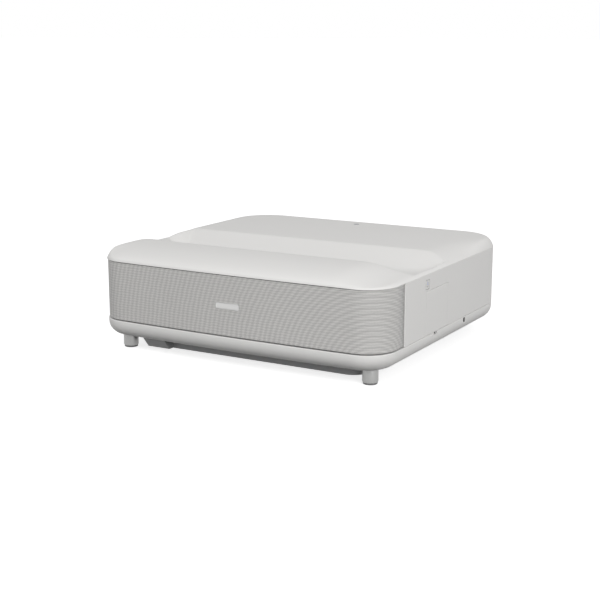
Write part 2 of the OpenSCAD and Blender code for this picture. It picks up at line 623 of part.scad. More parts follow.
// Paper cone with its dust cap, set back from the driver's rim.
module cone(x, y, r) color([0.2, 0.2, 0.2]) translate([x, y, driver_z]) rotate([-90, 0, 0]) rotate_extrude($fn = 64)
    polygon([[0, 4], [r * 0.3, 5], [r * 0.32, 8], [r - 5, -2.5], [r - 4, -2.5], [r * 0.38, 9.5], [0, 9.5]]);
module left_cone() cone(-driver_x, box_y0 + 12, 22);
module right_cone() cone(driver_x, box_y0 + 12, 22);
module woofer_cone() cone(woofer_x, box_y0, 33);

// ---- feet and fasteners ----
stud_r = 5;
rear_foot = [158, 193.8];
rear_foot_r = 8.8;
module foot_nuts() color([0.8, 0.65, 0.35]) both_sides() difference() {
    rod_z(8, 25, 38, foot_x, foot_y);
    rod_z(stud_r + slip, 24, 39, foot_x, foot_y);
}
module front_foot(x) color(foot_grey) difference() {
    union() {
        rod_z(foot_r, 2.5, foot_h - fit, x, foot_y);
        rod_z(stud_r, foot_h - 1, 45, x, foot_y);
    }
    rod_z(4 + slip, 0, 6, x, foot_y);
}
module left_foot() front_foot(-foot_x);
module right_foot() front_foot(foot_x);
module foot_pad(x) color(dark_grey) {
    rod_z(foot_r - 1, 0, 2.3, x, foot_y);
    rod_z(4, 2, 5.8, x, foot_y);
}
module left_foot_pad() foot_pad(-foot_x);
module right_foot_pad() foot_pad(foot_x);
module rear_feet() color(dark_grey) both_sides() {
    rod_z(rear_foot_r - 0.8, 0, 3, rear_foot.x, rear_foot.y);
    rod_z(rear_foot_r, 2.5, foot_h, rear_foot.x, rear_foot.y);
}
module case_screws() color(metal) for (p = boss_spots) difference() {
    union() {
        rod_z(3.2, 37.5, 40, p.x, p.y);
        rod_z(screw_r, 40, boss_top + 10, p.x, p.y);
    }
    rod_z(1, 37, 39, p.x, p.y);
}

lower_case();
base_pan();
side_shell();
top_cover();
vent_grille();
rear_panel();
grille_frame();
grille_cloth();
front_badge();
power_button();
status_light();
side_door();
window_glass();
window_frame();
distance_sensor();
ir_receivers();
chassis_plate();
engine_case();
engine_lid();
prism();
lcd_panels();
relay_lenses();
lens_barrel();
rear_lens();
focus_cell();
focus_ring();
focus_lever();
lever_knob();
concave_mirror();
mirror_bracket();
laser_module();
phosphor_wheel();
wheel_motor();
heat_sink();
heat_pipes();
fan_frames();
front_fan_rotor();
rear_fan_rotor();
blower_case();
blower_rotor();
air_filter();
filter_cover();
main_board();
board_chips();
io_ports();
power_board();
power_parts();
mains_inlet();
speaker_boxes();
speaker_drivers();
left_cone();
right_cone();
woofer_cone();
foot_nuts();
left_foot();
right_foot();
left_foot_pad();
right_foot_pad();
rear_feet();
case_screws();
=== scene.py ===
import json
from math import atan2, cos, degrees, hypot, pi, radians, sin, sqrt

import bmesh
import bpy
from mathutils import Matrix, Vector
from mathutils.geometry import delaunay_2d_cdt


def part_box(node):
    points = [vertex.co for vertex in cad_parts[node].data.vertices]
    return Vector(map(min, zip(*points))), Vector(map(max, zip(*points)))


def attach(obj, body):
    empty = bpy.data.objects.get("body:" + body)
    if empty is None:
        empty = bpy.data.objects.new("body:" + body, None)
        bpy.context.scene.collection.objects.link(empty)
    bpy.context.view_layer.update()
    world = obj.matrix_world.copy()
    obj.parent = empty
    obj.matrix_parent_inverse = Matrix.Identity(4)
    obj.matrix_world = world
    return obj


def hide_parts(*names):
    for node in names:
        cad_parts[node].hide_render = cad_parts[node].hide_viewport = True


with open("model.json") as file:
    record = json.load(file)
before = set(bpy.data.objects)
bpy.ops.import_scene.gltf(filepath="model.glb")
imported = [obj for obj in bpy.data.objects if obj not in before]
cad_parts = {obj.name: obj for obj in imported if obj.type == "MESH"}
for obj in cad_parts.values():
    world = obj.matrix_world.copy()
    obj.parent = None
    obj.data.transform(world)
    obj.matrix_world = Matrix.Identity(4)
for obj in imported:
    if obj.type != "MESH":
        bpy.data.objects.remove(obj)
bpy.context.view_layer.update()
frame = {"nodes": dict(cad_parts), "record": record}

MM = 0.001


def cad(node):
    """A CAD node's lowest and highest corner, in millimetres."""
    low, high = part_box(node)
    return low / MM, high / MM


# ---------------------------------------------------------------- camera and light

LENS_MM, SENSOR_MM = 72.57, 36
AZIMUTH, ELEVATION = radians(29.88), radians(12.53)
CAMERA_AT = Vector((0.88977, -1.57208, 0.45823))
LIGHTS_AIM = Vector((0, 0, 0.08))
# The studio's brightness by height: 0 is straight down, 0.5 the horizon, 1 straight up.
SKY = ((0.455, 0.05), (0.492, 1.0), (0.53, 1.0), (0.60, 0.55))


def make_camera():
    """A long lens to the front right of the object, a little above it."""
    back = Vector((sin(AZIMUTH) * cos(ELEVATION), -cos(AZIMUTH) * cos(ELEVATION), sin(ELEVATION)))
    right = Vector((cos(AZIMUTH), sin(AZIMUTH), 0))
    up = back.cross(right)
    data = bpy.data.cameras.new("camera")
    data.lens, data.sensor_width = LENS_MM, SENSOR_MM
    camera = bpy.data.objects.new("camera", data)
    place = Matrix((right, up, back)).transposed().to_4x4()
    place.translation = CAMERA_AT
    camera.matrix_world = place
    bpy.context.scene.collection.objects.link(camera)
    bpy.context.scene.camera = camera


def area_light(name, at, size, power):
    """A soft box that points at the middle of the object."""
    data = bpy.data.lights.new(name, "AREA")
    data.shape, data.size, data.size_y = "RECTANGLE", size[0], size[1]
    data.energy = power
    lamp = bpy.data.objects.new(name, data)
    lamp.location = at
    lamp.rotation_euler = (LIGHTS_AIM - Vector(at)).to_track_quat("-Z", "Y").to_euler()
    bpy.context.scene.collection.objects.link(lamp)


def make_lights():
    """A pale studio: bright round the horizon, softer above and dim below, with two large soft boxes."""
    world = bpy.data.worlds.new("studio")
    bpy.context.scene.world = world
    world.use_nodes = True
    tree = world.node_tree
    new, link = tree.nodes.new, tree.links.new
    place, split = new("ShaderNodeTexCoord"), new("ShaderNodeSeparateXYZ")
    height, ramp = new("ShaderNodeMapRange"), new("ShaderNodeValToRGB")
    height.inputs["From Min"].default_value = -1
    link(place.outputs["Generated"], split.inputs["Vector"])
    link(split.outputs["Z"], height.inputs["Value"])
    link(height.outputs["Result"], ramp.inputs["Fac"])
    stops = ramp.color_ramp.elements
    for index, (position, level) in enumerate(SKY):
        stop = stops[index] if index < 2 else stops.new(position)
        stop.position, stop.color = position, (level, level, level, 1)
    background = tree.nodes["Background"]
    link(ramp.outputs["Color"], background.inputs["Color"])
    background.inputs["Strength"].default_value = 1.0
    area_light("key", (-0.5, -2.1, 2.0), (1.2, 0.9), 17)
    area_light("fill", (1.95, -1.35, 1.0), (1.2, 1.0), 28)
    bpy.context.scene.view_settings.view_transform = "Standard"


# ---------------------------------------------------------------- materials

materials = {}


def surface(name, colour, rough, metal=0.0, grain=900, bump=0.04, mottle=0.03, **sockets):
    """A moulded, cast or painted surface: fine grain in bump and roughness, and slow colour variation."""
    made = bpy.data.materials.new(name)
    made.use_nodes = True
    tree = made.node_tree
    new, link = tree.nodes.new, tree.links.new
    shader = tree.nodes["Principled BSDF"]
    place = new("ShaderNodeTexCoord")
    fine, slow = new("ShaderNodeTexNoise"), new("ShaderNodeTexNoise")
    fine.inputs["Scale"].default_value, fine.inputs["Detail"].default_value = grain, 3
    slow.inputs["Scale"].default_value, slow.inputs["Detail"].default_value = 9, 4
    for noise in (fine, slow):
        link(place.outputs["Object"], noise.inputs["Vector"])
    tint = new("ShaderNodeMix")
    tint.data_type = "RGBA"
    tint.inputs[6].default_value = (*[c * (1 - mottle) for c in colour], 1)
    tint.inputs[7].default_value = (*[min(1, c * (1 + mottle)) for c in colour], 1)
    link(slow.outputs["Fac"], tint.inputs[0])
    link(tint.outputs[2], shader.inputs["Base Color"])
    spread = new("ShaderNodeMapRange")
    spread.inputs["To Min"].default_value = max(0.02, rough - 0.07)
    spread.inputs["To Max"].default_value = min(1, rough + 0.07)
    link(fine.outputs["Fac"], spread.inputs["Value"])
    link(spread.outputs["Result"], shader.inputs["Roughness"])
    relief = new("ShaderNodeBump")
    relief.inputs["Strength"].default_value, relief.inputs["Distance"].default_value = bump, 0.0004
    link(fine.outputs["Fac"], relief.inputs["Height"])
    link(relief.outputs["Normal"], shader.inputs["Normal"])
    shader.inputs["Metallic"].default_value = metal
    for socket, value in sockets.items():
        shader.inputs[socket.replace("_", " ")].default_value = value
    materials[name] = made
    return made


def brushed(name, colour, rough, along):
    """Metal with fine scratches along one axis."""
    made = surface(name, colour, rough, 1.0, bump=0.03)
    tree = made.node_tree
    stretch = tree.nodes.new("ShaderNodeMapping")
    stretch.inputs["Scale"].default_value = [0.04 if axis == along else 1 for axis in range(3)]
    fine = next(n for n in tree.nodes if n.type == "TEX_NOISE" and n.inputs["Scale"].default_value == 900)
    place = next(n for n in tree.nodes if n.type == "TEX_COORD")
    tree.links.new(place.outputs["Object"], stretch.inputs["Vector"])
    tree.links.new(stretch.outputs["Vector"], fine.inputs["Vector"])
    return made


def knit(name, colour):
    """Open acoustic knit: rows of small stitches, darker in the holes, with a soft sheen."""
    made = surface(name, colour, 0.85, grain=1400, bump=0.2, mottle=0.05,
                   Sheen_Weight=0.25, Sheen_Roughness=0.5)
    tree = made.node_tree
    new, link = tree.nodes.new, tree.links.new
    place = next(n for n in tree.nodes if n.type == "TEX_COORD")
    shader = tree.nodes["Principled BSDF"]
    split = new("ShaderNodeSeparateXYZ")
    link(place.outputs["UV"], split.inputs["Vector"])
    waves = []
    for axis, period in (("X", STITCH_W), ("Y", RIB_H)):
        scaled = new("ShaderNodeMath")
        scaled.operation, scaled.inputs[1].default_value = "MULTIPLY", 2 * pi / period
        link(split.outputs[axis], scaled.inputs[0])
        wave = new("ShaderNodeMath")
        wave.operation = "SINE"
        link(scaled.outputs[0], wave.inputs[0])
        waves.append(wave)
    both = new("ShaderNodeMath")
    both.operation = "MULTIPLY"
    link(waves[0].outputs[0], both.inputs[0])
    link(waves[1].outputs[0], both.inputs[1])
    depth = new("ShaderNodeMapRange")
    depth.inputs["From Min"].default_value, depth.inputs["From Max"].default_value = -0.8, 0.8
    link(both.outputs[0], depth.inputs["Value"])
    hole = new("ShaderNodeMix")
    hole.data_type = "RGBA"
    hole.inputs[6].default_value = (*[c * 0.62 for c in colour], 1)
    tint = shader.inputs["Base Color"].links[0].from_node
    link(tint.outputs[2], hole.inputs[7])
    link(depth.outputs["Result"], hole.inputs[0])
    shaded = hole.outputs[2]
    # The two knit layers beat against each other: ripples across, and arcs round the right corner.
    centre = new("ShaderNodeMapping")
    centre.inputs["Location"].default_value = (-ARC_AT[0], -ARC_AT[1], 0)
    link(place.outputs["UV"], centre.inputs["Vector"])
    for kind, scale, turn, low in (("RINGS", 0.042, 1.6, 0.90), ("BANDS", 0.085, 2.2, 0.89)):
        beat, level = new("ShaderNodeTexWave"), new("ShaderNodeMapRange")
        beat.wave_type, beat.wave_profile, beat.bands_direction, beat.rings_direction = kind, "SIN", "Y", "Z"
        beat.inputs["Scale"].default_value, beat.inputs["Distortion"].default_value = scale, turn
        beat.inputs["Detail"].default_value, beat.inputs["Detail Scale"].default_value = 1.5, 1.2
        link(centre.outputs["Vector"], beat.inputs["Vector"])
        level.inputs["To Min"].default_value, level.inputs["To Max"].default_value = low, 1.06
        link(beat.outputs["Fac"], level.inputs["Value"])
        tone = new("ShaderNodeVectorMath")
        tone.operation = "SCALE"
        link(shaded, tone.inputs[0])
        link(level.outputs["Result"], tone.inputs["Scale"])
        shaded = tone.outputs[0]
    link(shaded, shader.inputs["Base Color"])
    stitch = new("ShaderNodeBump")
    stitch.inputs["Strength"].default_value, stitch.inputs["Distance"].default_value = 0.6, 0.0003
    link(depth.outputs["Result"], stitch.inputs["Height"])
    link(shader.inputs["Normal"].links[0].from_node.outputs[0], stitch.inputs["Normal"])
    link(stitch.outputs["Normal"], shader.inputs["Normal"])
    return made


def glass(name, colour):
    """Clear glass or plastic with a faint tint."""
    return surface(name, colour, 0.03, bump=0.005, mottle=0.01, Transmission_Weight=0.9, IOR=1.48)


# The knit in millimetres on the flat cloth: stitch width, rib height, and the centre of its arcs.
STITCH_W, RIB_H, ARC_AT = 1.9, 1.45, (500, 20)

surface("case_white", (0.755, 0.748, 0.735), 0.6, grain=1500, bump=0.03, mottle=0.008,
        Specular_IOR_Level=0.25)
# The underside's grey plastic, made darker still as painted shade for the shadow under the body; the rear
# posts wear it too.
surface("base_grey", (0.30, 0.30, 0.303), 0.55, grain=1100, bump=0.05)
surface("recess_grey", (0.13, 0.13, 0.135), 0.5, grain=1100, bump=0.06)
surface("grille_plastic", (0.05, 0.05, 0.05), 0.6, bump=0.05)
knit("speaker_cloth", (0.715, 0.705, 0.688))
brushed("badge_metal", (0.50, 0.50, 0.495), 0.38, along=0)
surface("indicator", (0.30, 0.42, 0.95), 0.25, bump=0.01,
        Emission_Color=(0.35, 0.5, 1, 1), Emission_Strength=0.35)
glass("window_glass", (0.62, 0.66, 0.72))
surface("window_black", (0.015, 0.015, 0.017), 0.22, bump=0.02)
brushed("steel_plate", (0.62, 0.63, 0.64), 0.35, along=0)
surface("engine_casting", (0.10, 0.10, 0.11), 0.5, 0.6, grain=500, bump=0.15)
glass("optical_glass", (0.75, 0.85, 0.90))
surface("panel_blue", (0.05, 0.05, 0.16), 0.2, bump=0.02)
surface("black_plastic", (0.03, 0.03, 0.032), 0.45, grain=800, bump=0.06)
surface("mirror_coat", (0.92, 0.93, 0.95), 0.06, 1.0, bump=0.003, mottle=0.005)
surface("phosphor", (0.80, 0.62, 0.08), 0.6, bump=0.05)
brushed("fin_aluminium", (0.72, 0.73, 0.74), 0.38, along=1)
brushed("pipe_copper", (0.78, 0.42, 0.26), 0.3, along=0)
surface("filter_mat", (0.14, 0.15, 0.16), 0.95, grain=600, bump=0.5, mottle=0.1, Sheen_Weight=0.3)
surface("circuit_board", (0.03, 0.16, 0.07), 0.35, grain=400, bump=0.05, mottle=0.15)
brushed("port_shell", (0.75, 0.75, 0.76), 0.22, along=1)
surface("part_blue", (0.05, 0.07, 0.17), 0.35, bump=0.03)
surface("basket_steel", (0.08, 0.08, 0.085), 0.4, 0.5, bump=0.08)
surface("cone_paper", (0.035, 0.035, 0.035), 0.85, grain=500, bump=0.35, mottle=0.1)
brushed("insert_brass", (0.75, 0.58, 0.28), 0.3, along=2)
surface("foot_metal", (0.36, 0.36, 0.355), 0.38, 0.75, grain=1600, bump=0.05)
surface("pad_rubber", (0.19, 0.19, 0.192), 0.8, grain=700, bump=0.15)
surface("mark_grey", (0.33, 0.34, 0.36), 0.4, bump=0.02)
surface("floor_white", (0.60, 0.60, 0.60), 0.9, grain=200, bump=0.0, mottle=0.005,
        Emission_Color=(1, 1, 1, 1), Emission_Strength=0.75)

# ---------------------------------------------------------------- meshes


def link_piece(name, mesh, slot, body="root", replaces=(), material=None):
    """An object that rides a body, wears its slot's material or the one named, and may replace nodes."""
    piece = bpy.data.objects.new(name, mesh)
    bpy.context.scene.collection.objects.link(piece)
    mesh.materials.clear()
    mesh.materials.append(materials[material or slot])
    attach(piece, body)
    if replaces:
        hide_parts(*replaces)
    return piece


def mesh_of(name, verts, faces):
    """A mesh from points in millimetres, with its faces turned outwards."""
    mesh = bpy.data.meshes.new(name)
    mesh.from_pydata([Vector(v) * MM for v in verts], [], faces)
    work = bmesh.new()
    work.from_mesh(mesh)
    bmesh.ops.remove_doubles(work, verts=work.verts, dist=1e-7)
    bmesh.ops.recalc_face_normals(work, faces=work.faces)
    work.to_mesh(mesh)
    work.free()
    return mesh


def apply_modifiers(piece):
    """Puts the result of a piece's modifiers in its mesh and clears them."""
    graph = bpy.context.evaluated_depsgraph_get()
    graph.update()
    done = bpy.data.meshes.new_from_object(piece.evaluated_get(graph))
    piece.modifiers.clear()
    old = piece.data
    piece.data = done
    done.name = old.name


def sharpen(mesh, angle=30):
    """Smooth shading, with edges sharper than the angle kept crisp."""
    work = bmesh.new()
    work.from_mesh(mesh)
    for face in work.faces:
        face.smooth = True
    for edge in work.edges:
        flat = len(edge.link_faces) == 2 and edge.calc_face_angle(pi) < radians(angle)
        edge.smooth = flat
    work.to_mesh(mesh)
    work.free()


def bevel(piece, width, angle=35):
    """Small rounds on every edge sharper than the angle."""
    soft = piece.modifiers.new("soft_edges", "BEVEL")
    soft.width, soft.segments = width * MM, 2
    soft.limit_method, soft.angle_limit = "ANGLE", radians(angle)
    soft.use_clamp_overlap = True
    soft.harden_normals = False


def carve(piece, cutters):
    """Cuts closed meshes out of a piece."""
    tool = bpy.data.objects.new("cutter", cutters)
    bpy.context.scene.collection.objects.link(tool)
    cut = piece.modifiers.new("cut", "BOOLEAN")
    cut.operation, cut.solver, cut.object = "DIFFERENCE", "EXACT", tool
    apply_modifiers(piece)
    bpy.data.objects.remove(tool)
    bpy.data.meshes.remove(cutters)


def strips(count, n):
    """Faces between neighbours among closed loops of n points each."""
    return [(a * n + k, a * n + (k + 1) % n, (a + 1) * n + (k + 1) % n, (a + 1) * n + k)
            for a in range(count - 1) for k in range(n)]


def solid_of(loops):
    """A closed solid through loops of equal length, capped at both ends: (vertices, faces)."""
    n = len(loops[0])
    verts = [p for loop in loops for p in loop]
    caps = [tuple(range(n)), tuple((len(loops) - 1) * n + k for k in range(n))]
    return verts, strips(len(loops), n) + caps


def joined(solids):
    """Several (vertices, faces) pairs as one."""
    verts, faces = [], []
    for some_verts, some_faces in solids:
        faces += [tuple(i + len(verts) for i in face) for face in some_faces]
        verts += some_verts
    return verts, faces


def arc(cx, cy, r, start, end, n):
    """Points on a circle from one angle to another, in degrees."""
    angles = [radians(start + (end - start) * k / n) for k in range(n + 1)]
    return [(cx + r * cos(a), cy + r * sin(a)) for a in angles]


def circle(x, y, r, n):
    """Points all the way round a circle, anticlockwise."""
    return [(x + r * cos(2 * pi * k / n), y + r * sin(2 * pi * k / n)) for k in range(n)]


def rounded(x0, y0, x1, y1, r, n=8):
    """Corner-rounded rectangle, anticlockwise."""
    loop = []
    corners = ((x1 - r, y0 + r, -90), (x1 - r, y1 - r, 0), (x0 + r, y1 - r, 90), (x0 + r, y0 + r, 180))
    for cx, cy, a in corners:
        loop += arc(cx, cy, r, a, a + 90, n)
    return loop


def rectangle(x0, y0, x1, y1):
    """A sharp-cornered rectangle, anticlockwise."""
    return [(x0, y0), (x1, y0), (x1, y1), (x0, y1)]


def prism(loop, low, high, axis="z"):
    """A loop pushed from low to high along an axis. Its two numbers are the other two axes in order."""
    at = "xyz".index(axis)
    return solid_of([[(*point[:at], level, *point[at:]) for point in loop] for level in (low, high)])


def lathe(profile, at, n=72):
    """A solid turned about a vertical line, through (radius, height) points, with flat ends."""
    return solid_of([[(x, y, z) for x, y in circle(*at, r, n)] for r, z in profile])


# ---------------------------------------------------------------- the case's plan outline

_, case_high = cad("lower_case")
HALF_W, HALF_D = case_high.x, case_high.y
FRONT_R, REAR_R, BOW = 46.0, 68.0, 5.0
BOW_R = HALF_W ** 2 / (2 * BOW)
CORNER_X = HALF_W - FRONT_R
BOW_Y = -HALF_D + BOW_R
CORNER_Y = BOW_Y - sqrt((BOW_R - FRONT_R) ** 2 - CORNER_X ** 2)
BOW_END = degrees(atan2(CORNER_Y - BOW_Y, CORNER_X))
BAND_Y = cad("side_shell")[0].y
SEAM_Z = cad("side_shell")[0].z
TRAY_TOP_Z = SEAM_Z - 0.7
FOOT_H = cad("lower_case")[0].z
CREASE_Z = cad("top_cover")[0].z
TOP_Z = cad("top_cover")[1].z
PLATEAU_Z = cad("distance_sensor")[1].z
BOWL_Z = cad("window_frame")[1].z


def front_arc(inset):
    """The bowed front from the left corner to the right one."""
    half = 90 + BOW_END
    return arc(0, BOW_Y, BOW_R - inset, -90 - half, -90 + half, 96)[1:-1]


def straight(a, b, n):
    """The points between two points that cut the line into n equal steps."""
    return [(a[0] + (b[0] - a[0]) * k / n, a[1] + (b[1] - a[1]) * k / n) for k in range(1, n)]


def outline(inset, corner=26, side=70, back=80):
    """The plan outline moved inwards, anticlockwise from the right front corner."""
    right_front = arc(CORNER_X, CORNER_Y, FRONT_R - inset, BOW_END, 0, corner)
    right_rear = arc(HALF_W - REAR_R, HALF_D - REAR_R, REAR_R - inset, 0, 90, corner)
    left_rear = arc(REAR_R - HALF_W, HALF_D - REAR_R, REAR_R - inset, 90, 180, corner)
    left_front = arc(-CORNER_X, CORNER_Y, FRONT_R - inset, 180, 180 - BOW_END, corner)
    return (right_front + straight(right_front[-1], right_rear[0], side) + right_rear
            + straight(right_rear[-1], left_rear[0], back) + left_rear
            + straight(left_rear[-1], left_front[0], side) + left_front + front_arc(inset))


def edge_distance(x, y):
    """How far a point lies inside the outline."""
    ax = abs(x)
    if y < CORNER_Y and ax > CORNER_X and degrees(atan2(y - CORNER_Y, ax - CORNER_X)) > BOW_END:
        return FRONT_R - hypot(ax - CORNER_X, y - CORNER_Y)
    if y > HALF_D - REAR_R and ax > HALF_W - REAR_R:
        return REAR_R - hypot(ax - (HALF_W - REAR_R), y - (HALF_D - REAR_R))
    return min(HALF_W - ax, HALF_D - y, BOW_R - hypot(x, y - BOW_Y))


def fill_loop(loop, step, inset):
    """Triangles that fill a closed loop, with an even grid of points inside it: (points, faces)."""
    points = [Vector(p) for p in loop]
    count_x, count_y = int(2 * HALF_W / step), int(2 * HALF_D / step)
    for i in range(count_x):
        for j in range(count_y):
            x = -HALF_W + (i + 0.5 + 0.5 * (j % 2)) * step
            y = -HALF_D + (j + 0.5) * step
            if edge_distance(x, y) > inset + 0.7 * step:
                points.append(Vector((x, y)))
    edges = [(k, (k + 1) % len(loop)) for k in range(len(loop))]
    verts, _, faces, *_ = delaunay_2d_cdt(points, edges, [], 1, 1e-5)
    return verts, faces


def add_fill(verts, faces, inset, step, height):
    """Adds the surface inside the outline moved in by the inset, at the height of each point."""
    flat_verts, flat_faces = fill_loop(outline(inset), step, inset)
    base = len(verts)
    verts.extend((v.x, v.y, height(v.x, v.y)) for v in flat_verts)
    faces.extend(tuple(base + i for i in face) for face in flat_faces)


def domed(insets, height, step):
    """An open skin over the whole outline: offset rings near the edge and an even mesh inside them.

    The height is a function of a point and of how far it lies inside the outline."""
    verts = [(x, y, height(x, y, inset)) for inset in insets for x, y in outline(inset)]
    faces = strips(len(insets), len(verts) // len(insets))
    add_fill(verts, faces, insets[-1], step, lambda x, y: height(x, y, edge_distance(x, y)))
    return verts, faces


def thicken(piece, thickness):
    """Gives an open skin a wall on its inner side."""
    shell = piece.modifiers.new("wall", "SOLIDIFY")
    shell.thickness, shell.offset, shell.use_even_offset = thickness * MM, -1, False
    apply_modifiers(piece)


# ---------------------------------------------------------------- top cover

LIP_RUN = 83.5
# The crown near the crease: the run over which it rises, and the power of its curve.
TIGHT_EDGE, WIDE_EDGE = (18.0, 3.2), (55.0, 2.1)
# How far the lip's right end falls below the top, and where along X the fall starts.
RIGHT_FALL, RIGHT_FALL_X0 = 13.0, 155.0
RIDGE_Y = -HALF_D + LIP_RUN
SADDLE_Z = CREASE_Z + 9.6
# Points of the saddle's side view behind the lip's ridge: place along Y and height.
SADDLE = [(RIDGE_Y, TOP_Z), (-124, TOP_Z - 0.25), (-109, TOP_Z - 1.4), (-94, SADDLE_Z + 3), (-80, SADDLE_Z),
          (-50, SADDLE_Z), (-34, SADDLE_Z + 2), (-16, PLATEAU_Z - 0.3), (0, PLATEAU_Z)]
# The bowl's four edges and the slope of the ramp down from each.
BOWL_BACK_Y, BOWL_FRONT_Y, BOWL_LEFT_X, BOWL_RIGHT_X = 20.0, -112.0, -225.0, 226.5
BACK_SLOPE, END_SLOPE, LEFT_SLOPE, FRONT_SLOPE = 0.40, 1.2, 0.8, 1.5
# In front of this place along Y the bowl's left edge slants inwards.
SLANT_Y, SLANT = -50.0, 0.67
COVER_WALL, SENSOR_HOLE_R = 2.6, 4.6


def soft_max(a, b, k):
    """The larger of two numbers, rounded over where they lie within k of each other."""
    h = max(k - abs(a - b), 0) / k
    return max(a, b) + h * h * k / 4


def soft_min(a, b, k):
    """The smaller of two numbers, rounded over in the same way."""
    return -soft_max(-a, -b, k)


def along(points, x):
    """Smooth monotone curve through points."""
    if x >= points[-1][0]:
        return points[-1][1]
    k = max(i for i in range(len(points) - 1) if x >= points[i][0] or i == 0)

    def slope(i):
        if i <= 0 or i >= len(points) - 1:
            return 0.0
        before = (points[i][1] - points[i - 1][1]) / (points[i][0] - points[i - 1][0])
        after = (points[i + 1][1] - points[i][1]) / (points[i + 1][0] - points[i][0])
        return 0.0 if before * after <= 0 else 2 * before * after / (before + after)

    (x0, y0), (x1, y1) = points[k], points[k + 1]
    w = x1 - x0
    t = (x - x0) / w
    return (y0 * (1 + 2 * t) * (1 - t) ** 2 + slope(k) * w * t * (1 - t) ** 2
            + y1 * t * t * (3 - 2 * t) - slope(k + 1) * w * t * t * (1 - t))


def quarter(t):
    """A quarter circle's height, from 0 at 0 to 1 at 1."""
    return sqrt(max(0, 1 - (1 - min(max(t, 0), 1)) ** 2))


def ease(t):
    """A smooth step from 0 to 1."""
    t = min(max(t, 0), 1)
    return t * t * (3 - 2 * t)


def edge_fall(x, y, d):
    """How much of the cover's height is left near the crease: 0 on it, 1 well inside. Steep at the sides
    and the back, long and soft at the front lip."""
    wide = ease(x / 60) * (1 - ease((10 - y) / 60)) * (1 - ease((y - 60) / 100))

    def side(gap):
        tight, broad = (1 - (1 - min(max(gap, 0) / run, 1)) ** power
                        for run, power in (TIGHT_EDGE, WIDE_EDGE))
        return tight + (broad - tight) * wide

    def both(front, gap):
        return max(0, min(front, side(gap), soft_min(front, side(gap), 0.06)))

    ax = abs(x)
    front = quarter((BOW_R - hypot(x, y - BOW_Y)) / LIP_RUN)
    if y >= CORNER_Y:
        return both(front, d)
    if ax <= CORNER_X:
        return both(front, HALF_W - ax)
    turn = ease(degrees(atan2(ax - CORNER_X, CORNER_Y - y)) / 90)
    return quarter(d / LIP_RUN) * (1 - turn) + both(front, d) * turn


def crown(x, y, d):
    """The saddle and the lip before the bowl is sunk in them. Both fall away to the front right corner."""
    base = TOP_Z if y < RIDGE_Y else along(SADDLE, y)
    right = ease((x - RIGHT_FALL_X0) / (HALF_W - 6 - RIGHT_FALL_X0)) * ease((10 - y) / 60)
    base -= right * max(0, base - (TOP_Z - RIGHT_FALL))
    return CREASE_Z + (base - CREASE_Z) * edge_fall(x, y, d)


def cover_height(x, y, d):
    """The cover's outer surface over a point that lies d inside the outline."""
    base = crown(x, y, d)
    if not BOWL_FRONT_Y - 4 < y < BOWL_BACK_Y + 4 or d < 0.01:
        return base
    rim = TOP_Z - RIGHT_FALL - 0.6
    q_left = x - BOWL_LEFT_X - SLANT * max(0, SLANT_Y - y)
    bowl = PLATEAU_Z - BACK_SLOPE * (BOWL_BACK_Y - y)
    bowl = soft_max(bowl, rim - END_SLOPE * (BOWL_RIGHT_X - x), 2)
    bowl = soft_max(bowl, base - LEFT_SLOPE * q_left, 2)
    bowl = soft_max(bowl, base - FRONT_SLOPE * (y - BOWL_FRONT_Y), 4)
    bowl = soft_max(bowl, BOWL_Z, 4)
    return min(base, soft_min(base, bowl, 0.8))


def make_cover():
    """The top cover, with the window's opening and the sensor's hole."""
    insets = [0, 0.5, 1, 1.6, 2.3, 3, 4, 5, 6.2, 7.5, 9, 10.5, 12, 14, 16, 18.5, 21, 24, 27]
    verts, faces = domed(insets, cover_height, 2.4)
    cover = link_piece("cover", mesh_of("cover", verts, faces), "case_white", replaces=["top_cover"])
    thicken(cover, COVER_WALL)
    low, high = cad("window_frame")
    window = prism(rounded(low.x - 0.2, low.y - 0.2, high.x + 0.2, high.y + 0.2, 8), BOWL_Z - 9, TOP_Z + 4)
    low, high = cad("distance_sensor")
    mid = (low + high) / 2
    hole = prism(circle(mid.x, mid.y, SENSOR_HOLE_R, 48), PLATEAU_Z - 6, PLATEAU_Z + 3)
    carve(cover, mesh_of("cut", *joined([window, hole])))
    sharpen(cover.data, 40)


# ---------------------------------------------------------------- tray

CHIN_R, TRAY_WALL = 20.0, 2.6
# Cuts in the right side, each as lowest Y, lowest Z, highest Y, highest Z.
NOTCH, NOTCH_HOLE = (-64, SEAM_Z - 3.6, -43, SEAM_Z + 2), (-50, SEAM_Z - 4.2, -43, SEAM_Z + 2)
LOCK_RECESS, LOCK_SLOT = (50.5, SEAM_Z - 9.6, 61.2, SEAM_Z - 1.6), (55.8, SEAM_Z - 9, 61, SEAM_Z - 2)
SCREW_WELLS = ((222, -110), (222, 60), (176, 206), (-222, -110), (-222, 45), (-176, 206))


def grown(box, by):
    """A box of four numbers made larger on every side."""
    return box[0] - by, box[1] - by, box[2] + by, box[3] + by


def ring_shell(profile, step):
    """A closed shell through offset rings given as (inset, height), both ends filled flat."""
    verts = [(x, y, z) for inset, z in profile for x, y in outline(inset)]
    faces = strips(len(profile), len(verts) // len(profile))
    for inset, level in (profile[0], profile[-1]):
        add_fill(verts, faces, inset, step, lambda x, y: level)
    return verts, faces


